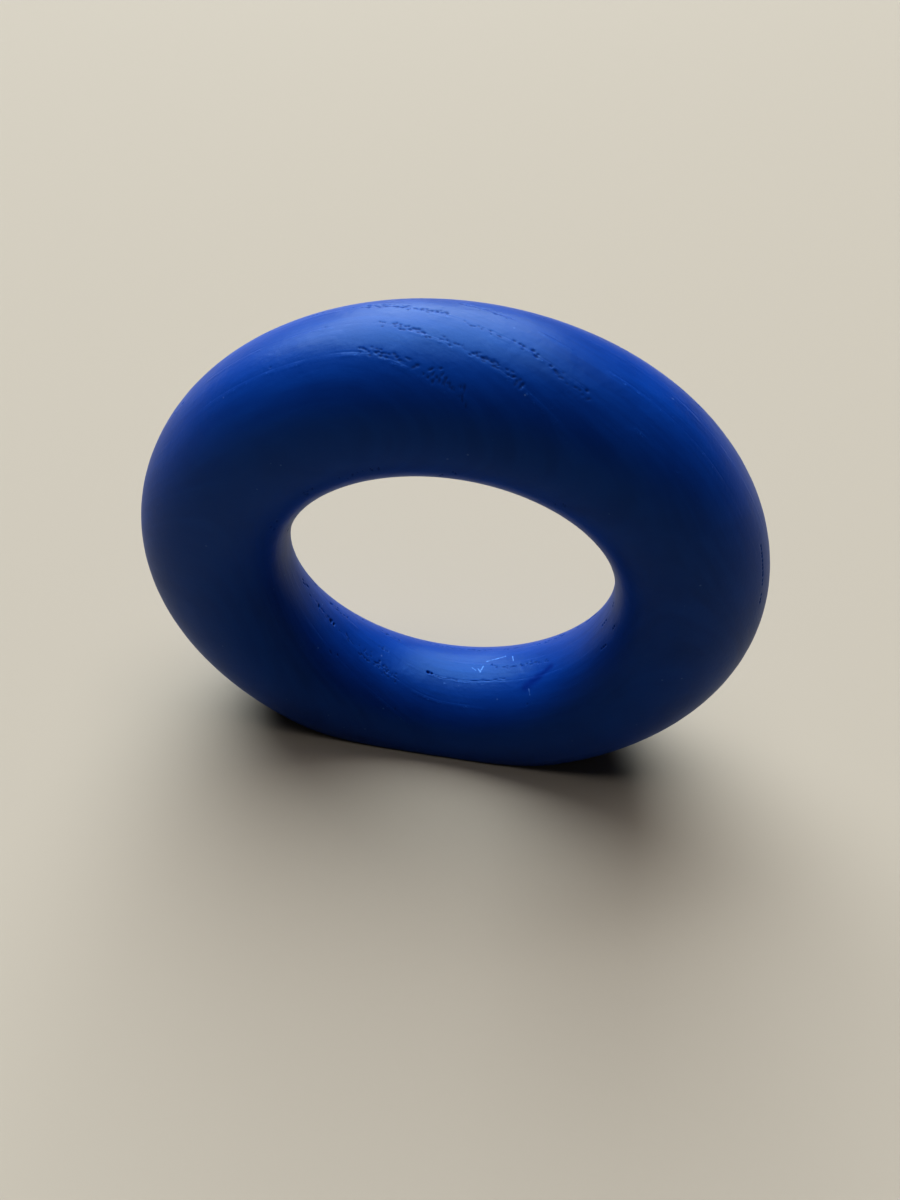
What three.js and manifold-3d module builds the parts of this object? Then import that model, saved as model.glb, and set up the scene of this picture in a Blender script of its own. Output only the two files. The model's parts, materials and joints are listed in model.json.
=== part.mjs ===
// A hand grip ring: one solid piece of wood, shaped to a plump ring, with a flat foot that it stands on.
// Millimetres, +Z up. The origin is the centre of the flat foot, and the hole's axis runs along Y.

import * as THREE from 'three';
import { mergeVertices } from 'three/addons/utils/BufferGeometryUtils.js';
import Module from 'manifold-3d';

// Driving dimensions. Each one can be changed by itself.
const RING_WIDTH = 88.0; // outside size along X
const RING_HEIGHT = 86.4; // outside size along Z before the foot is cut: the ring is very slightly oval
const GRIP_RADIAL = 20.5; // thickness of the grip from the hole to the outside
const GRIP_AXIAL = 19.5; // thickness of the grip along the hole's axis
const GRIP_FULLNESS = 2.16; // 2 makes the grip's section an ellipse, and more makes it fuller
const FOOT_DEPTH = 9.4; // how much of the ring's height the flat foot takes away

// Fineness of the faceted surface.
const STEPS_AROUND_RING = 96;
const STEPS_AROUND_GRIP = 32;

// Colour and finish of the satin blue paint.
const PAINT = { name: 'satin_blue', color: 0x173fb5, roughness: 0.42, metalness: 0.0 };

// Dimensions that follow from the driving ones.
const CENTRE_RADIUS = (RING_WIDTH - GRIP_RADIAL) / 2;
const OVAL_SHIFT = (RING_HEIGHT - RING_WIDTH) / 2;
const CENTRE_HEIGHT = RING_HEIGHT / 2 - FOOT_DEPTH;

const wasm = await Module();
wasm.setup();

// A closed geometry as a solid that can be cut. Only the positions matter, so the seams merge.
function toSolid(geometry) {
  const bare = geometry.clone();
  bare.deleteAttribute('normal');
  bare.deleteAttribute('uv');
  const merged = mergeVertices(bare);
  return new wasm.Manifold(
    new wasm.Mesh({
      numProp: 3,
      vertProperties: merged.attributes.position.array,
      triVerts: new Uint32Array(merged.index.array),
    }),
  );
}

// A solid as a geometry with its own normals.
function toGeometry(solid) {
  const mesh = solid.getMesh();
  const geometry = new THREE.BufferGeometry();
  geometry.setAttribute('position', new THREE.BufferAttribute(mesh.vertProperties, 3));
  geometry.setIndex(new THREE.BufferAttribute(mesh.triVerts, 1));
  geometry.computeVertexNormals();
  return geometry;
}

// A coordinate of the superellipse: the sine or cosine of its angle, swollen outwards.
function swell(ratio) {
  return Math.sign(ratio) * Math.abs(ratio) ** (2 / GRIP_FULLNESS);
}

// The grip's section: x is the distance from the hole's axis, y the place along it. It ends where it begins.
function gripSection() {
  const points = [];
  for (let step = 0; step < STEPS_AROUND_GRIP; step += 1) {
    const angle = (2 * Math.PI * step) / STEPS_AROUND_GRIP;
    const radius = CENTRE_RADIUS + (GRIP_RADIAL / 2) * swell(Math.cos(angle));
    points.push(new THREE.Vector2(radius, (GRIP_AXIAL / 2) * swell(Math.sin(angle))));
  }
  points.push(points[0].clone());
  return points;
}

// Moves each section of a round ring along Z, so that the ring turns oval and its grip keeps one thickness.
function makeOval(ring) {
  const position = ring.attributes.position;
  for (let index = 0; index < position.count; index += 1) {
    const z = position.getZ(index);
    const fromAxis = Math.hypot(position.getX(index), z);
    position.setZ(index, z + (OVAL_SHIFT * z) / fromAxis);
  }
}

// The whole ring before its foot is cut, standing so that the foot will lie at z = 0.
function wholeRing() {
  const ring = new THREE.LatheGeometry(gripSection(), STEPS_AROUND_RING);
  makeOval(ring);
  ring.translate(0, 0, CENTRE_HEIGHT);
  return ring;
}

// Everything below the foot, with room to spare on each side.
function belowFoot() {
  const block = new THREE.BoxGeometry(2 * RING_WIDTH, 2 * GRIP_AXIAL, 2 * FOOT_DEPTH);
  block.translate(0, 0, -FOOT_DEPTH);
  return block;
}

function gripRing() {
  const solid = toSolid(wholeRing()).subtract(toSolid(belowFoot()));
  const ring = new THREE.Mesh(toGeometry(solid), new THREE.MeshStandardMaterial(PAINT));
  ring.name = 'grip_ring';
  return ring;
}

const handGripRing = new THREE.Group();
handGripRing.name = 'hand_grip_ring';
handGripRing.add(gripRing());

export default handGripRing;
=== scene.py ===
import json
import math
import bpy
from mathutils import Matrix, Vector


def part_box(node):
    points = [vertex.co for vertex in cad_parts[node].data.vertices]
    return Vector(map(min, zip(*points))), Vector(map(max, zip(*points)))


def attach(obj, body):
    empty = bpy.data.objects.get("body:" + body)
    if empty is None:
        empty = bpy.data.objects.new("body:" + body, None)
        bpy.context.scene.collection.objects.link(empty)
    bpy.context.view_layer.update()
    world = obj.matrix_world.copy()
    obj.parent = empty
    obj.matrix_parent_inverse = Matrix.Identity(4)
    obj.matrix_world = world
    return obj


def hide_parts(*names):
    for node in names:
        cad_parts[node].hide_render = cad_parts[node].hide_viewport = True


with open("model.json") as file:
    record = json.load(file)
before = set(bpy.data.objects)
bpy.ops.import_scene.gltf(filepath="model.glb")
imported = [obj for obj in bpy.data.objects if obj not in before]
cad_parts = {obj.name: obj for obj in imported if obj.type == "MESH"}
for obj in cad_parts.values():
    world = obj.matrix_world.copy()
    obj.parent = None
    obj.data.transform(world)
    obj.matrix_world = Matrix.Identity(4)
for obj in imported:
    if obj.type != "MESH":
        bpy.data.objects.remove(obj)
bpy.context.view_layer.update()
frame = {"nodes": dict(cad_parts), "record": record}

# The looks of a hand grip ring: one wooden ring with a flat foot, painted satin blue. The paint has filled
# the long grain, and the pores stay open where the end grain shows, in rows along the wood's growth rings.
# Lengths are in millimetres until a mesh, the floor, a lamp or the camera is made.

from types import SimpleNamespace

import bmesh
import bpy
import numpy as np
from mathutils import Matrix, Vector, noise
from mathutils.kdtree import KDTree

MM = 0.001
NODE = "grip_ring"

# The ring's shape. Its sizes come from the CAD node, and only the section's fullness repeats the CAD's
# value.
GRIP_FULLNESS = 2.16
FOOT_EASE = 0.5  # radius of the sanded edge round the foot

# The mesh: cells round the ring and round the grip, split in four up to SPLITS times where there is
# detail.
CELLS_AROUND = 240
CELLS_SECTION = 64
SPLITS = 3
FINE = 2 ** SPLITS  # fine steps along one side of an unsplit cell
FOOT_STEP = 2  # the foot's edge needs cells of this many fine steps
WELD = 1e-7  # a vertex this close to the floor is on it, in metres

# The wood's growth rings: sheets that stand upright and lean across the ring, so that y falls by
# GROWTH_SLOPE for each millimetre of x. They flatten out to the right, and near the top they do to the
# left too.
GROWTH_SLOPE = 0.33
GROWTH_LEVELS = (25.0, 60.0)  # heights where the sheets' lower form ends and their upper form begins
GROWTH_LEFT_BEND = -12.0  # the bends lie at these places in x
GROWTH_RIGHT_BENDS = (-1.5, 12.5)  # at the lower and the upper level
GROWTH_RIGHT_SLOPES = (0.06, 0.15)
GROWTH_BEND_WIDTH = 1.5
GROWTH_DRIFT = 0.0125  # how far a sheet moves along y for each millimetre below GROWTH_TOP
GROWTH_TOP = 76.0
GROWTH_PLACES = (-26.6, -8.6, -4.8, -1.15, 2.45, 27.65)  # where the sheets numbered below cross x = 0
GROWTH_NUMBERS = (-7, -2, -1, 0, 1, 8)
SHEET_GAP = 3.6  # from one sheet to the next

# The open pores.
PORE_SEED = 7
PORE_TRIES = 220000
PORE_SPREAD = 0.30  # how far a pore lies from the middle of its row
PORE_REACH = 0.35  # no pore is further than this from a sheet, as a share of the gap
PORE_GAP = 0.27  # the least distance between two pores
PORE_RADIUS = (0.10, 0.25)  # half its width
PORE_DEPTH = (0.03, 0.12)
PORE_STRETCH = (1.0, 2.2)  # a pore in the end grain is this many times longer than wide
PORE_LONGEST = 3.0  # and no pore is longer than this
PORE_ROUGHNESS = 0.35  # how far a pore's outline wanders, as a share of its width
PORE_OUTLINE = 2.0  # the outline wanders up to this far from the pore's middle, where 1 is its edge
CELL_OUTLINE = 1.1  # and cells are split up to this far from it, plus half a cell
PORE_SEARCH = (2.5, 1.5)  # how far round a pore the mesh is measured: half lengths, and what is added
TOP_LEVEL = 55.0  # above this is the top of the ring
HOLE_LEVEL = 30.0  # below this and facing up is the floor of the hole
# Rows of open pores at the top and in the hole: which growth ring, the part of it in x, and how many are
# open.
TOP_ROWS = (
    (0.0, -14.5, -3.2, 1.0),
    (0.07, -9.5, -3.2, 0.9),
    (-0.06, -1.2, 8.2, 0.4),
    (-0.12, 8.2, 13.5, 0.5),
    (-0.98, -11.2, 6.2, 1.0),
    (-1.93, -12.2, 0.2, 0.8),
    (0.95, -2.2, 4.6, 0.35),
)
HOLE_ROWS = (
    (-1.0, -22.0, -16.0, 0.3),
    (-1.0, -15.5, -6.0, 1.0),
    (-1.14, -13.0, -6.5, 0.6),
    (-0.87, -13.0, -6.5, 0.6),
    (-0.05, -10.7, -8.5, 0.9),
    (0.7, 8.2, 17.5, 0.25),
)
# Elsewhere the rows are nearly filled with paint where the photograph shows them, and open in clumps where it
# doesn't: behind BACK_FROM, and lower down where the wood faces the floor more than FACING_DOWN.
OPEN_ON_FRONT = 0.015
OPEN_ON_BACK = 0.8
BACK_FROM = 3.0
FACING_DOWN = 0.3
# Smooth noise that breaks up the rows, gathers clumps along them and makes the pores' outlines ragged.
GAP_NOISE = (0.9, 3.0)  # scale and seed, here and below
GAP_EDGES = (0.35, 0.55)  # no more than GAP_LEAST of the pores below the first level, all above the second
GAP_LEAST = 0.3
CLUMP_NOISE = (1.0, 11.0)
CLUMP_EDGES = (0.42, 0.62)
CLUMP_SCALE = 0.16
CLUMP_SHIFT = 5.3  # so that each row has its own clumps
OUTLINE_NOISE = (3.0, 5.0)

# Single pits on the floor of the hole: x, y, half length along the row, half width and depth.
HOLE_PITS = (
    (-19.6, 0.9, 0.42, 0.30, 0.45),
    (-17.6, 0.3, 0.5, 0.34, 0.55),
    (-17.1, 0.1, 0.34, 0.28, 0.4),
    (-1.6, -1.15, 0.40, 0.24, 0.45),
    (-1.0, -1.25, 0.3, 0.2, 0.3),
    (8.3, 1.2, 0.24, 0.22, 0.3),
)
# Hairline splits that run on from two of the pits: x and y along each.
HOLE_SPLITS = (
    ((-0.6, -1.45), (0.9, -1.9), (2.2, -1.75), (3.6, -2.0), (5.2, -1.95), (6.8, -1.8), (8.4, -1.9),
     (9.6, -1.7), (10.8, -1.75)),
    ((8.3, 1.1), (9.6, 0.55), (11.0, 0.35), (12.3, 0.3), (13.4, 0.1), (14.8, 0.0), (16.0, -0.3),
     (17.1, -0.5)),
)
SPLIT_OVERLAP = 0.75  # the half length of a piece of a split, as a share of the step between its points
SPLIT_HALF_WIDTH = 0.09
SPLIT_DEPTH = 0.10
# Broken grooves: corners as the angles round the ring and round the grip, in degrees.
GROOVES = (
    ((102.5, 8.8), (94.2, 1.3)),  # on the top of the rim
    ((28.2, -23.0), (22.5, -27.0), (13.8, -34.0)),  # on the right of the rim
    ((3.7, 188.2), (-15.0, 185.4)),  # this one and the next two are on the right wall of the hole
    ((-1.7, 202.4), (-6.2, 201.2)),
    ((-11.9, 204.4), (-17.4, 202.4)),
)
GROOVE_STEP = 0.62  # from one dash to the next
GROOVE_JITTER = (0.3, 0.7)  # where a dash lies in its step
GROOVE_SHARE = 0.75  # how many of the dashes are there
GROOVE_DASH = (0.36, 0.16, 0.15)  # half length, half width and depth

# Marks in the paint on the floor of the hole: x and y of both ends, and the half width.
SCUFFS = (
    (7.0, 0.95, 6.6, -0.2, 0.16),
    (6.6, -0.2, 6.2, 0.5, 0.12),
    (7.4, 2.0, 10.3, 2.95, 0.15),
    (11.4, 2.7, 11.6, 1.5, 0.11),
    (5.9, 0.1, 5.2, 0.7, 0.09),
    (14.4, -4.1, 14.7, -5.0, 0.10),
    (1.1, -2.6, 7.4, -2.5, 0.07),
)
SMEARS = (
    (17.2, -1.6, 15.6, -2.6, 0.8),
    (15.6, -2.6, 13.8, -3.7, 1.15),
)
# How sharp a stroke's edge is: the share of its half width that has full strength.
SCUFF_CORE = 0.4
SMEAR_CORE = 0.0

# The paint: its colours, and how strongly each one shows.
PAINT_BLUES = ((0.0008, 0.030, 0.198), (0.0014, 0.040, 0.252))
BAND_BLUE, BAND_SHOWS = (0.003, 0.056, 0.32), 0.3
# The pores' dark blue is painted shade, and partly the thicker paint that lies in them.
PORE_SHADE_BLUE, PORE_SHADE_SHOWS = (0.0006, 0.009, 0.09), 0.55
FLECK_BLUE, FLECK_SHOWS = (0.03, 0.12, 0.48), 0.7
SCUFF_BLUE, SCUFF_SHOWS = (0.11, 0.25, 0.66), 0.85
SMEAR_BLUE, SMEAR_SHOWS = (0.0006, 0.013, 0.16), 0.7
DUST_BLUE, DUST_SHOWS = (0.10, 0.17, 0.42), 0.45
WORN_BLUE, WORN_SHOWS = (0.05, 0.12, 0.40), 0.6
PAINT_IOR = 1.5
PAINT_SPECULAR = 0.23
PAINT_SPECULAR_TINT = (0.30, 0.70, 1.0)
PAINT_ROUGHNESS = 0.355

# Heights of the paint's relief.
STEP_HEIGHTS = (0.006, 0.055)  # a growth ring's step on the side grain, and what the end grain adds
BAND_HEIGHTS = (0.008, 0.03)  # where the bands are faint, and what is added where they are strong
FIBRE_HEIGHT = 0.01
PEEL_HEIGHT = 0.011
TOOTH_HEIGHT = 0.010
# One growth ring from side to side, with its row of pores at 0.5 and a ridge before it.
STEP_PROFILE = ((0.0, 0.55), (0.31, 0.5), (0.41, 0.9), (0.455, 0.7), (0.5, 0.15), (0.57, 0.38), (0.8, 0.5),
                (1.0, 0.55))
# Where the flecks beside a row lie, in the same way.
FLECK_PROFILE = ((0.0, 0.0), (0.32, 0.0), (0.42, 1.0), (0.48, 0.6), (0.55, 0.4), (0.68, 0.0))

# The camera stands in front of the ring and above it, a little to the right, and looks down. Turns are in
# degrees.
CAMERA_PLACE = (4.7, -93.7, 140.7)
CAMERA_DOWN = 50.12
CAMERA_TURN = 2.58  # to the left
CAMERA_ROLL = 6.56
CAMERA_SENSOR = 36.0
CAMERA_LENS = 29.68

# The room, in metres. Each lamp has its bearing from straight behind the ring to the right and its height,
# both in degrees, then its width and depth, brightness and colour.
LAMPS = {
    "window": (-24, 44, (6.0, 4.7), 6.2, (0.88, 0.97, 1.0)),
    "low_window": (-17, 13, (1.1, 1.1), 5.5, (0.82, 0.95, 1.0)),
    "ceiling": (-12, 80, (4.5, 3.0), 4.3, (1.0, 0.98, 0.95)),
}
LAMP_DISTANCE = 5.0
LAMP_AIM = 0.035  # height that the lamps face
FLOOR_HALF = 1.35
FLOOR_COLOUR = (0.330, 0.293, 0.250)
FLOOR_ROUGHNESS = 0.9
FLOOR_SPECULAR = 0.08
ROOM_COLOUR = (1.0, 0.97, 0.92)
ROOM_FILL = 0.03
ROOM_BACKDROP = 0.62


def ease(low, high, value):
    """0 below low, 1 above high, and a smooth step between."""
    t = np.clip((value - low) / (high - low), 0, 1)
    return t * t * (3 - 2 * t)


def measure_ring():
    """The ring's sizes, from the CAD node and the opening that the record gives for the hole."""
    low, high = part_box(NODE)
    hole = np.array(frame["record"]["physics"]["openings"][0]["box_m"]) / MM
    axis_height = hole[:, 2].mean()
    points = np.array([vertex.co for vertex in frame["nodes"][NODE].data.vertices]) / MM
    level = points[np.abs(points[:, 2] - axis_height) < 1.0]
    outer = (high.x - low.x) / 2 / MM
    return {
        "outer": outer,
        "half_radial": (outer - np.abs(level[:, 0]).min()) / 2,
        "half_axial": (high.y - low.y) / 2 / MM,
        "axis_height": axis_height,
        "oval_shift": high.z / MM - axis_height - outer,
    }


RING = measure_ring()
CENTRE_RADIUS = RING["outer"] - RING["half_radial"]


def swell(ratio):
    """Turns a sine or cosine into the fuller curve of the grip's section."""
    return np.sign(ratio) * np.abs(ratio) ** (2 / GRIP_FULLNESS)


def ring_points(around, section):
    """Points on the smooth ring. around turns from +X to +Z, section from the outside to +Y, in radians."""
    radius = CENTRE_RADIUS + RING["half_radial"] * swell(np.cos(section))
    return np.stack([
        radius * np.cos(around),
        RING["half_axial"] * swell(np.sin(section)),
        RING["axis_height"] + (radius + RING["oval_shift"]) * np.sin(around),
    ], axis=-1)


def ring_normals(around, section):
    """Outward unit normals of the smooth ring."""
    power = 2 - 2 / GRIP_FULLNESS
    out = np.sign(np.cos(section)) * np.abs(np.cos(section)) ** power / RING["half_radial"]
    along = np.sign(np.sin(section)) * np.abs(np.sin(section)) ** power / RING["half_axial"]
    normals = np.stack([out * np.cos(around), along, out * np.sin(around)], axis=-1)
    return normals / np.linalg.norm(normals, axis=-1, keepdims=True)


def hole_floor(x, y):
    """The point at x, y on the floor of the hole, and the normal there."""
    section = math.pi - math.asin(math.copysign(abs(y / RING["half_axial"]) ** (GRIP_FULLNESS / 2), y))
    radius = CENTRE_RADIUS + RING["half_radial"] * swell(np.cos(section))
    around = -math.acos(x / radius)
    return ring_points(around, section), ring_normals(around, section)


def soft_bend(distance):
    """0 well before a bend, the distance well past it, and smooth between."""
    return GROWTH_BEND_WIDTH * np.logaddexp(0, distance / GROWTH_BEND_WIDTH)


def growth(points):
    """Which growth ring a point is in: a row of open pores lies wherever this is a whole number."""
    x, y, z = points[..., 0], points[..., 1], points[..., 2]
    upper = ease(*GROWTH_LEVELS, z)
    lower = 1 - upper
    left = soft_bend(GROWTH_LEFT_BEND - x) * upper
    right = soft_bend(x - lower * GROWTH_RIGHT_BENDS[0] - upper * GROWTH_RIGHT_BENDS[1])
    right_slope = lower * GROWTH_RIGHT_SLOPES[0] + upper * GROWTH_RIGHT_SLOPES[1]
    lean = GROWTH_SLOPE * (x + left) - (GROWTH_SLOPE - right_slope) * right
    return np.interp(y + lean + GROWTH_DRIFT * (GROWTH_TOP - z), GROWTH_PLACES, GROWTH_NUMBERS)


def wavering(points, scale, seed):
    """Smooth noise from 0 to 1 at each point."""
    shift = Vector((seed, 2.7 * seed, 0.0))
    return np.array([0.5 + 0.5 * noise.noise(Vector(point) * scale + shift) for point in points])


def near_sheet(rings, number):
    """1 in the middle of a row of pores, and less further from it."""
    off_row = (rings - number) * SHEET_GAP
    return np.exp(-((off_row / PORE_SPREAD) ** 2))


def row_openness(points, normals, rings):
    """From 0 to 1, how likely a pore is to be open at each point."""
    x, y, z = points.T
    at_top = (z > TOP_LEVEL) & (normals[:, 2] > 0)
    in_hole = (z < HOLE_LEVEL) & (normals[:, 2] > 0)
    gaps = GAP_LEAST + (1 - GAP_LEAST) * ease(*GAP_EDGES, wavering(points, *GAP_NOISE))
    openness = np.zeros(len(points))
    for rows, where in ((TOP_ROWS, at_top), (HOLE_ROWS, in_hole)):
        for number, start, end, share in rows:
            inside = ease(start - 0.5, start + 0.5, x) * ease(end + 0.5, end - 0.5, x)
            row = share * inside * near_sheet(rings, number) * gaps
            openness = np.where(where, np.maximum(openness, row), openness)
    clump_points = np.column_stack([CLUMP_SCALE * x, CLUMP_SHIFT * np.round(rings), CLUMP_SCALE * z])
    clumps = ease(*CLUMP_EDGES, wavering(clump_points, *CLUMP_NOISE))
    on_front = (at_top | in_hole | (normals[:, 2] > -FACING_DOWN)) & (y < BACK_FROM)
    end_grain = ease(0.15, 0.8, np.abs(normals[:, 2]))
    elsewhere = clumps * gaps * np.where(on_front, OPEN_ON_FRONT, OPEN_ON_BACK) * end_grain
    return np.maximum(openness, elsewhere * near_sheet(rings, np.round(rings)))


def scatter_pores(rng):
    """Pores at random places in the rows. Each has the same six values as a pit has."""
    around, section = rng.uniform(0, 2 * math.pi, (2, PORE_TRIES))
    points, normals = ring_points(around, section), ring_normals(around, section)
    area = (CENTRE_RADIUS + RING["half_radial"] * np.cos(section)) / RING["outer"]
    rings = growth(points)
    near_row = np.abs(rings - np.round(rings)) < PORE_REACH
    keep = near_row & (rng.random(PORE_TRIES) < area) & (points[:, 2] > 2 * FOOT_EASE)
    points, normals, rings = points[keep], normals[keep], rings[keep]
    keep = rng.random(len(points)) < row_openness(points, normals, rings)
    points, normals = points[keep], normals[keep]
    chosen = []
    for index, point in enumerate(points):
        if not chosen or np.linalg.norm(points[chosen] - point, axis=1).min() > PORE_GAP:
            chosen.append(index)
    points, normals = points[chosen], normals[chosen]
    upright = np.abs(normals[:, 2])
    end_grain = ease(0.6, 0.9, upright)[:, None]
    heading = (1 - end_grain) * (0.0, 0.0, 1.0) + end_grain * (1.0, -GROWTH_SLOPE, 0.0)
    along = heading - normals * (heading * normals).sum(axis=1, keepdims=True)
    along /= np.linalg.norm(along, axis=1, keepdims=True)
    width = rng.uniform(*PORE_RADIUS, len(points))
    stretch = rng.uniform(*PORE_STRETCH, len(points)) / np.maximum(upright, 1e-3)
    length = width * np.clip(stretch, 1, PORE_LONGEST)
    depth = rng.uniform(*PORE_DEPTH, len(points))
    return list(zip(points, along, np.cross(normals, along), length, width, depth))


def make_pit(point, normal, heading, length, width, depth):
    """One pit that lies along a heading: centre, along, across, half length, half width and depth."""
    across = np.cross(normal, heading)
    across /= np.linalg.norm(across)
    return point, np.cross(across, normal), across, length, width, depth


def hole_pits():
    """The bigger pits on the floor of the hole, and the hairline splits."""
    pits = [make_pit(*hole_floor(x, y), (1.0, -GROWTH_SLOPE, 0.0), *size) for x, y, *size in HOLE_PITS]
    for split in HOLE_SPLITS:
        for (x0, y0), (x1, y1) in zip(split, split[1:]):
            middle = hole_floor((x0 + x1) / 2, (y0 + y1) / 2)
            length = math.hypot(x1 - x0, y1 - y0) * SPLIT_OVERLAP
            heading = (x1 - x0, y1 - y0, 0.0)
            pits.append(make_pit(*middle, heading, length, SPLIT_HALF_WIDTH, SPLIT_DEPTH))
    return pits


def groove_dashes(rng):
    """The dashes that are there in each broken groove."""
    dashes = []
    for groove in GROOVES:
        for start, end in zip(np.radians(groove), np.radians(groove[1:])):
            heading = ring_points(*end) - ring_points(*start)
            count = round(np.linalg.norm(heading) / GROOVE_STEP)
            for step in range(count):
                place = start + (end - start) * (step + rng.uniform(*GROOVE_JITTER)) / count
                if rng.random() < GROOVE_SHARE:
                    point, normal = ring_points(*place), ring_normals(*place)
                    dashes.append(make_pit(point, normal, heading, *GROOVE_DASH))
    return dashes


def make_pores():
    """All the pores, pits, splits and grooves, as one array for each of their six values."""
    rng = np.random.default_rng(PORE_SEED)
    pores = scatter_pores(rng) + hole_pits() + groove_dashes(rng)
    names = ("centre", "along", "across", "length", "width", "depth")
    return {name: np.array(column) for name, column in zip(names, zip(*pores))}


def pore_distance(points, pores):
    """For each point, the nearest pore's index, after the distance to its middle, where 1 is its edge."""
    best = np.full(len(points), np.inf)
    which = np.zeros(len(points), int)
    tree = KDTree(len(points))
    for index, point in enumerate(points):
        tree.insert(point, index)
    tree.balance()
    for pore, centre in enumerate(pores["centre"]):
        length, width = pores["length"][pore], pores["width"][pore]
        reach = PORE_SEARCH[0] * length + PORE_SEARCH[1]
        near = np.array([index for _, index, _ in tree.find_range(centre, reach)], int)
        offset = points[near] - centre
        far = np.hypot(offset @ pores["along"][pore] / length, offset @ pores["across"][pore] / width)
        closer = far < best[near]
        best[near[closer]] = far[closer]
        which[near[closer]] = pore
    return best, which


def lattice_angles(i, j):
    """The angles round the ring and round the grip at a place counted in fine steps."""
    return 2 * math.pi * i / (CELLS_AROUND * FINE), 2 * math.pi * j / (CELLS_SECTION * FINE)


def split_cells(pores):
    """Cells as columns i, j and side in fine steps, smaller where there is a pore or the foot's edge."""
    corners_around, corners_section = np.arange(CELLS_AROUND) * FINE, np.arange(CELLS_SECTION) * FINE
    i, j = np.meshgrid(corners_around, corners_section, indexing="ij")
    cells = np.stack([i.ravel(), j.ravel()], axis=1)
    done = []
    side = FINE
    while side > 1:
        middle = ring_points(*lattice_angles(cells[:, 0] + side / 2, cells[:, 1] + side / 2))
        corner = ring_points(*lattice_angles(cells[:, 0], cells[:, 1]))
        reach = np.linalg.norm(middle - corner, axis=1)
        far, which = pore_distance(middle, pores)
        wanted = far < CELL_OUTLINE + reach / pores["width"][which]
        if side > FOOT_STEP:
            wanted |= (middle[:, 2] > -reach) & (middle[:, 2] < FOOT_EASE + reach)
        done.append(np.column_stack([cells[~wanted], np.full((~wanted).sum(), side)]))
        side //= 2
        quarters = ((0, 0), (side, 0), (0, side), (side, side))
        cells = np.concatenate([cells[wanted] + quarter for quarter in quarters])
    done.append(np.column_stack([cells, np.ones(len(cells), int)]))
    return np.concatenate(done)


def mesh_cells(cells):
    """The lattice points used, and each cell as a face that takes in its smaller neighbours' corners."""
    size = np.array([CELLS_AROUND * FINE, CELLS_SECTION * FINE])
    steps = ((0, 0), (0, 1), (1, 1), (1, 0))
    corners = np.concatenate([cells[:, :2] + cells[:, 2:] * step for step in steps])
    used = np.unique(corners % size, axis=0)
    number = np.full(size, -1)
    number[used[:, 0], used[:, 1]] = np.arange(len(used))
    faces = []
    for i, j, side in cells.tolist():
        edge = [(i, j + k) for k in range(side)] + [(i + k, j + side) for k in range(side)]
        edge += [(i + side, j + side - k) for k in range(side)] + [(i + side - k, j) for k in range(side)]
        found = [number[a % size[0], b % size[1]] for a, b in edge]
        faces.append([vertex for vertex in found if vertex >= 0])
    return used, faces


def cut_foot(mesh):
    """Cuts the ring off level at z = 0, rounds the edge that this leaves, and closes the foot."""
    bm = bmesh.new()
    bm.from_mesh(mesh)
    everything = bm.verts[:] + bm.edges[:] + bm.faces[:]
    floor_plane = {"plane_co": (0, 0, 0), "plane_no": (0, 0, 1)}
    bmesh.ops.bisect_plane(bm, geom=everything, dist=WELD, clear_inner=True, **floor_plane)
    bm.normal_update()
    radius = FOOT_EASE * MM
    for vert in bm.verts:
        if vert.co.z < radius:
            outward = Vector((vert.normal.x, vert.normal.y, 0)).normalized()
            rise = max(vert.co.z, 0.0)
            vert.co -= outward * (radius - math.sqrt(radius ** 2 - (radius - rise) ** 2))
    rim = [edge for edge in bm.edges if edge.is_boundary]
    foot = bmesh.ops.contextual_create(bm, geom=rim)["faces"]
    bmesh.ops.recalc_face_normals(bm, faces=bm.faces[:])
    for face in bm.faces:
        face.smooth = True
    for face in foot:
        face.smooth = False
    bmesh.ops.triangulate(bm, faces=foot)
    bm.to_mesh(mesh)
    bm.free()


def add_attribute(mesh, name, values):
    mesh.attributes.new(name, "FLOAT", "POINT").data.foreach_set("value", np.asarray(values, np.float32))


def make_ring():
    """The ring with its pores, and the attributes that the paint follows."""
    pores = make_pores()
    used, faces = mesh_cells(split_cells(pores))
    angles = lattice_angles(used[:, 0], used[:, 1])
    points, normals = ring_points(*angles), ring_normals(*angles)
    rings = growth(points)
    far, which = pore_distance(points, pores)
    near = far < PORE_OUTLINE
    far[near] *= 1 + PORE_ROUGHNESS * (2 * wavering(points[near], *OUTLINE_NOISE) - 1)
    dip = np.clip(1 - far ** 2, 0, 1) ** 2
    points -= normals * (dip * pores["depth"][which])[:, None]
    mesh = bpy.data.meshes.new("painted_ring")
    mesh.from_pydata(points * MM, [], faces)
    add_attribute(mesh, "pore", dip)
    add_attribute(mesh, "growth_ring", rings)
    add_attribute(mesh, "end_grain", ease(0.1, 0.9, np.abs(normals[:, 2])))
    cut_foot(mesh)
    ring = bpy.data.objects.new("painted_ring", mesh)
    bpy.context.scene.collection.objects.link(ring)
    return ring


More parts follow.
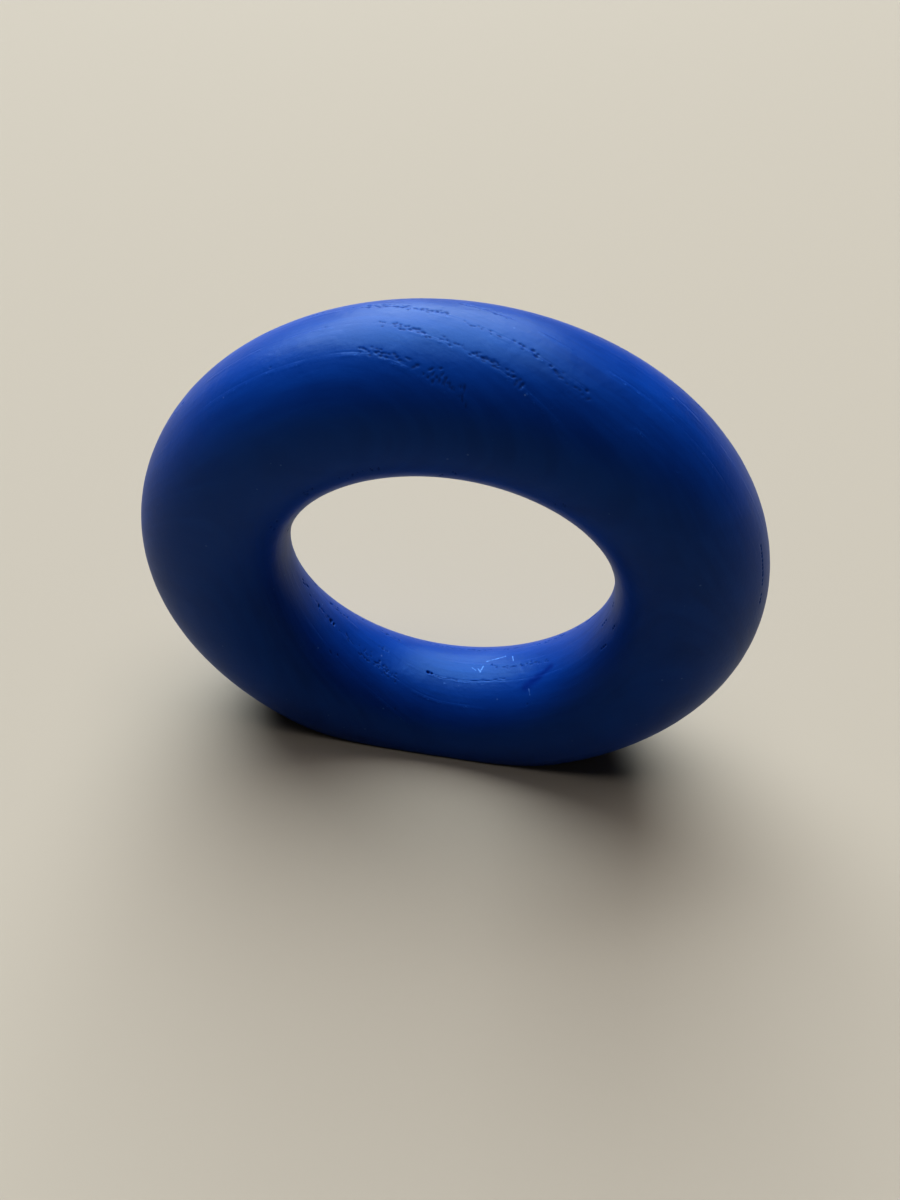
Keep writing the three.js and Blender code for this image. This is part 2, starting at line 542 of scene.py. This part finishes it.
class Shader:
    """A material's nodes. Each method adds a node and gives back its output."""

    def __init__(self, name):
        self.material = bpy.data.materials.new(name)
        self.material.use_nodes = True
        self.tree = self.material.node_tree
        self.surface = self.tree.nodes["Principled BSDF"]

    def put(self, socket, value):
        """Links or sets one socket."""
        if isinstance(value, bpy.types.NodeSocket):
            self.tree.links.new(value, socket)
        elif socket.type == "RGBA":
            socket.default_value = (*value, 1.0)
        else:
            socket.default_value = value

    def set(self, name, value):
        self.put(self.surface.inputs[name], value)

    def math(self, operation, *values):
        node = self.tree.nodes.new("ShaderNodeMath")
        node.operation = operation
        for socket, value in zip(node.inputs, values):
            self.put(socket, value)
        return node.outputs[0]

    def chain(self, operation, values):
        """The same operation all along a list of values."""
        result = values[0]
        for value in values[1:]:
            result = self.math(operation, result, value)
        return result

    def vector(self, operation, *values):
        node = self.tree.nodes.new("ShaderNodeVectorMath")
        node.operation = operation
        for socket, value in zip(node.inputs, values):
            self.put(socket, value)
        return node.outputs["Value" if operation in ("DISTANCE", "DOT_PRODUCT") else "Vector"]

    def split(self, vector):
        node = self.tree.nodes.new("ShaderNodeSeparateXYZ")
        self.put(node.inputs[0], vector)
        return node.outputs[:]

    def combine(self, *values):
        node = self.tree.nodes.new("ShaderNodeCombineXYZ")
        for socket, value in zip(node.inputs, values):
            self.put(socket, value)
        return node.outputs[0]

    def attribute(self, name):
        node = self.tree.nodes.new("ShaderNodeAttribute")
        node.attribute_name = name
        return node.outputs["Fac"]

    def place(self):
        """The point's place in millimetres."""
        node = self.tree.nodes.new("ShaderNodeTexCoord")
        return self.vector("MULTIPLY", node.outputs["Object"], (1 / MM, 1 / MM, 1 / MM))

    def noise(self, vector, scale, detail=2.0, roughness=0.5):
        node = self.tree.nodes.new("ShaderNodeTexNoise")
        names = ("Vector", "Scale", "Detail", "Roughness")
        for name, value in zip(names, (vector, scale, detail, roughness)):
            self.put(node.inputs[name], value)
        return node.outputs["Fac"]

    def cells(self, vector, scale):
        """Distance to the nearest of many scattered points, and a colour that is random for each."""
        node = self.tree.nodes.new("ShaderNodeTexVoronoi")
        self.put(node.inputs["Vector"], vector)
        self.put(node.inputs["Scale"], scale)
        return node.outputs["Distance"], node.outputs["Color"]

    def remap(self, value, low, high, to_low=0.0, to_high=1.0):
        """A smooth step from one range of values to another."""
        node = self.tree.nodes.new("ShaderNodeMapRange")
        node.interpolation_type = "SMOOTHSTEP"
        for socket, number in zip(node.inputs, (value, low, high, to_low, to_high)):
            self.put(socket, number)
        return node.outputs[0]

    def profile(self, value, stops):
        """A smooth curve through stops of position and height."""
        node = self.tree.nodes.new("ShaderNodeValToRGB")
        ramp = node.color_ramp
        ramp.interpolation = "EASE"
        while len(ramp.elements) < len(stops):
            ramp.elements.new(0.5)
        for element, (position, height) in zip(ramp.elements, stops):
            element.position = position
            element.color = (height, height, height, 1)
        self.put(node.inputs["Fac"], value)
        return node.outputs["Color"]

    def mix(self, amount, first, second):
        """The first colour where amount is 0, and the second where it is 1."""
        node = self.tree.nodes.new("ShaderNodeMix")
        node.data_type = "RGBA"
        factor = next(socket for socket in node.inputs if socket.type == "VALUE")
        colours = [socket for socket in node.inputs if socket.type == "RGBA"]
        for socket, value in zip([factor, *colours], (amount, first, second)):
            self.put(socket, value)
        return next(socket for socket in node.outputs if socket.type == "RGBA")

    def bump(self, height):
        """Surface relief from a height in millimetres."""
        node = self.tree.nodes.new("ShaderNodeBump")
        node.inputs["Distance"].default_value = MM
        self.put(node.inputs["Height"], height)
        return node.outputs[0]

    def stroke(self, place, start, end, half_width, core):
        """1 along a straight stroke between two places, and 0 further off than its half width."""
        start, end = Vector(start), Vector(end)
        run = end - start
        along = self.vector("DOT_PRODUCT", self.vector("SUBTRACT", place, start), run / run.length_squared)
        along = self.math("MINIMUM", self.math("MAXIMUM", along, 0.0), 1.0)
        offset = self.vector("MULTIPLY", self.combine(along, along, along), run)
        nearest = self.vector("ADD", offset, start)
        return self.remap(self.vector("DISTANCE", place, nearest), half_width * core, half_width, 1.0, 0.0)

    def strokes(self, place, strokes, core):
        """1 along any of the strokes on the floor of the hole."""
        made = [self.stroke(place, hole_floor(x0, y0)[0], hole_floor(x1, y1)[0], half_width, core)
                for x0, y0, x1, y1, half_width in strokes]
        return self.chain("MAXIMUM", made)


def wood_pattern(paint):
    """What the relief and the colour share: places, the mesh's attributes, and noise that follows them."""
    place = paint.place()
    x, _, z = paint.split(place)
    ring = paint.attribute("growth_ring")
    end = paint.attribute("end_grain")
    in_sheet = paint.combine(
        paint.math("MULTIPLY", ring, 4.0),
        paint.math("MULTIPLY", x, 0.09),
        paint.math("MULTIPLY", z, 0.06),
    )
    return SimpleNamespace(
        place=place,
        height=z,
        pore=paint.attribute("pore"),
        end=end,
        side=paint.math("SUBTRACT", 1.0, end),
        across=paint.math("FRACT", paint.math("ADD", ring, 0.5)),
        wander=paint.remap(paint.noise(place, scale=0.22, detail=3.0, roughness=0.6), 0.42, 0.66),
        bands=paint.noise(in_sheet, scale=1.0, detail=3.0, roughness=0.6),
    )


def paint_marks(paint, wood):
    """How scuffed, smeared, dusty and worn the paint is at each place, from 0 to 1."""
    broken = paint.remap(paint.noise(wood.place, scale=2.5), 0.35, 0.6, 0.25, 1.0)
    near, chance = paint.cells(wood.place, scale=0.42)
    kept = paint.remap(paint.vector("DOT_PRODUCT", chance, (0.0, 1.0, 0.0)), 0.70, 0.72)
    ragged = paint.noise(wood.place, scale=1.3, detail=4.0, roughness=0.65)
    low_down = paint.remap(wood.height, 0.15, 0.7, 1.0, 0.0)
    rubbed = paint.math("MULTIPLY", low_down, paint.remap(ragged, 0.5, 0.62))
    long_place = paint.vector("MULTIPLY", wood.place, (0.35, 5.0, 1.0))
    scratches = paint.remap(paint.noise(long_place, scale=1.0, detail=3.0, roughness=0.7), 0.56, 0.66)
    underneath = paint.remap(wood.height, 0.0, 0.06, 0.6, 0.0)
    return SimpleNamespace(
        scuff=paint.math("MULTIPLY", paint.strokes(wood.place, SCUFFS, SCUFF_CORE), broken),
        smear=paint.strokes(wood.place, SMEARS, SMEAR_CORE),
        dust=paint.math("MULTIPLY", paint.remap(near, 0.045, 0.07, 1.0, 0.0), kept),
        worn=paint.math("MAXIMUM", rubbed, paint.math("MULTIPLY", scratches, underneath)),
    )


def paint_relief(paint, wood):
    """The paint's height: a step at each growth ring, bands, side grain, orange peel and a fine tooth."""
    end_squared = paint.math("POWER", wood.end, 2.0)
    step_height = paint.math("MULTIPLY_ADD", end_squared, STEP_HEIGHTS[1], STEP_HEIGHTS[0])
    step = paint.chain("MULTIPLY", [
        paint.profile(wood.across, STEP_PROFILE),
        step_height,
        paint.math("MULTIPLY_ADD", wood.wander, 0.88, 0.12),
    ])
    band_strength = paint.remap(paint.noise(wood.place, scale=0.09), 0.45, 0.65)
    band_height = paint.math("MULTIPLY_ADD", band_strength, BAND_HEIGHTS[1], BAND_HEIGHTS[0])
    upright_place = paint.vector("MULTIPLY", wood.place, (2.2, 2.2, 0.12))
    fibres = paint.noise(upright_place, scale=1.0, detail=3.0, roughness=0.6)
    peel = paint.noise(wood.place, scale=1.1)
    tooth = paint.noise(wood.place, scale=3.2, detail=3.0, roughness=0.6)
    return paint.chain("ADD", [
        step,
        paint.math("MULTIPLY", wood.bands, band_height),
        paint.math("MULTIPLY", fibres, paint.math("MULTIPLY", wood.side, FIBRE_HEIGHT)),
        paint.math("MULTIPLY", peel, PEEL_HEIGHT),
        paint.math("MULTIPLY", tooth, TOOTH_HEIGHT),
    ])


def paint_colour(paint, wood, marks):
    """A deep blue that is a little uneven, with painted shade and thicker paint in the pores, pale flecks,
    scuffs and dust.
    """
    cloud = paint.noise(wood.place, scale=0.06, detail=3.0, roughness=0.55)
    flat_place = paint.vector("MULTIPLY", wood.place, (1.0, 1.6, 1.0))
    speckled = paint.noise(flat_place, scale=1.9, detail=3.0, roughness=0.7)
    flecks = paint.chain("MULTIPLY", [
        paint.remap(speckled, 0.58, 0.68),
        paint.profile(wood.across, FLECK_PROFILE),
        wood.wander,
        wood.end,
    ])
    blue = paint.mix(paint.remap(cloud, 0.3, 0.7), *PAINT_BLUES)
    for amount, shows, colour in (
        (paint.remap(wood.bands, 0.35, 0.7), BAND_SHOWS, BAND_BLUE),
        # painted shade in the pores, partly their thicker paint
        (paint.remap(wood.pore, 0.05, 0.9), PORE_SHADE_SHOWS, PORE_SHADE_BLUE),
        (flecks, FLECK_SHOWS, FLECK_BLUE),
        (marks.scuff, SCUFF_SHOWS, SCUFF_BLUE),
        (marks.smear, SMEAR_SHOWS, SMEAR_BLUE),
        (marks.dust, DUST_SHOWS, DUST_BLUE),
        (marks.worn, WORN_SHOWS, WORN_BLUE),
    ):
        blue = paint.mix(paint.math("MULTIPLY", amount, shows), blue, colour)
    return blue


def paint_roughness(paint, wood, marks):
    """Satin, duller on the side grain, in the pores and where the paint is marked."""
    uneven = paint.noise(wood.place, scale=0.25, detail=3.0, roughness=0.6)
    shares = ((marks.worn, 0.2), (wood.side, 0.06), (uneven, 0.08), (wood.pore, 0.25), (marks.dust, 0.2),
              (marks.scuff, 0.15), (marks.smear, -0.1))
    added = [paint.math("MULTIPLY", value, share) for value, share in shares]
    return paint.chain("ADD", [PAINT_ROUGHNESS] + added)


def blue_paint():
    paint = Shader("satin_blue_paint")
    wood = wood_pattern(paint)
    marks = paint_marks(paint, wood)
    paint.set("Normal", paint.bump(paint_relief(paint, wood)))
    paint.set("Base Color", paint_colour(paint, wood, marks))
    paint.set("Roughness", paint_roughness(paint, wood, marks))
    paint.set("IOR", PAINT_IOR)
    paint.set("Specular IOR Level", PAINT_SPECULAR)
    paint.set("Specular Tint", PAINT_SPECULAR_TINT)
    return paint.material


def pale_floor():
    floor = Shader("pale_floor")
    floor.set("Base Color", FLOOR_COLOUR)
    floor.set("Roughness", FLOOR_ROUGHNESS)
    floor.set("Specular IOR Level", FLOOR_SPECULAR)
    return floor.material


def make_floor():
    mesh = bpy.data.meshes.new("floor")
    corners = [(x * FLOOR_HALF, y * FLOOR_HALF, 0) for x, y in ((-1, -1), (1, -1), (1, 1), (-1, 1))]
    mesh.from_pydata(corners, [], [(0, 1, 2, 3)])
    mesh.materials.append(pale_floor())
    floor = bpy.data.objects.new("floor", mesh)
    bpy.context.scene.collection.objects.link(floor)


def add_camera():
    data = bpy.data.cameras.new("camera")
    data.sensor_width = CAMERA_SENSOR
    data.lens = CAMERA_LENS
    data.clip_start = 0.01
    camera = bpy.data.objects.new("camera", data)
    down, turn, roll = (math.radians(angle) for angle in (CAMERA_DOWN, CAMERA_TURN, CAMERA_ROLL))
    tilt = Matrix.Rotation(math.pi / 2 - down, 4, "X")
    look = Matrix.Rotation(turn, 4, "Z") @ tilt @ Matrix.Rotation(roll, 4, "Z")
    camera.matrix_world = Matrix.Translation(Vector(CAMERA_PLACE) * MM) @ look
    bpy.context.scene.collection.objects.link(camera)
    bpy.context.scene.camera = camera


def add_softbox(name, bearing, height, size, brightness, colour):
    """A soft lamp that faces the ring. The brightness is that of its surface, whatever its size."""
    bearing, height = math.radians(bearing), math.radians(height)
    level = math.cos(height)
    away = Vector((math.sin(bearing) * level, math.cos(bearing) * level, math.sin(height)))
    data = bpy.data.lights.new(name, "AREA")
    data.shape = "RECTANGLE"
    data.size, data.size_y = size
    data.energy = math.pi * size[0] * size[1] * brightness
    data.color = colour
    lamp = bpy.data.objects.new(name, data)
    lamp.location = away * LAMP_DISTANCE + Vector((0, 0, LAMP_AIM))
    lamp.rotation_euler = away.to_track_quat("Z", "Y").to_euler()
    bpy.context.scene.collection.objects.link(lamp)


def add_room():
    """A dim even fill light, and a pale backdrop that is only for the eye and lights nothing."""
    world = bpy.data.worlds.new("room")
    world.use_nodes = True
    tree = world.node_tree
    background = tree.nodes["Background"]
    background.inputs["Color"].default_value = (*ROOM_COLOUR, 1)
    path = tree.nodes.new("ShaderNodeLightPath")
    strength = tree.nodes.new("ShaderNodeMapRange")
    strength.inputs["To Min"].default_value = ROOM_FILL
    strength.inputs["To Max"].default_value = ROOM_BACKDROP
    tree.links.new(path.outputs["Is Camera Ray"], strength.inputs["Value"])
    tree.links.new(strength.outputs[0], background.inputs["Strength"])
    bpy.context.scene.world = world


add_camera()
ring = make_ring()
ring.data.materials.append(blue_paint())
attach(ring, "root")
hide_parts(NODE)
make_floor()
for lamp_name, lamp_values in LAMPS.items():
    add_softbox(lamp_name, *lamp_values)
add_room()
bpy.context.scene.view_settings.view_transform = "Standard"
bpy.context.scene.view_settings.look = "Medium High Contrast"
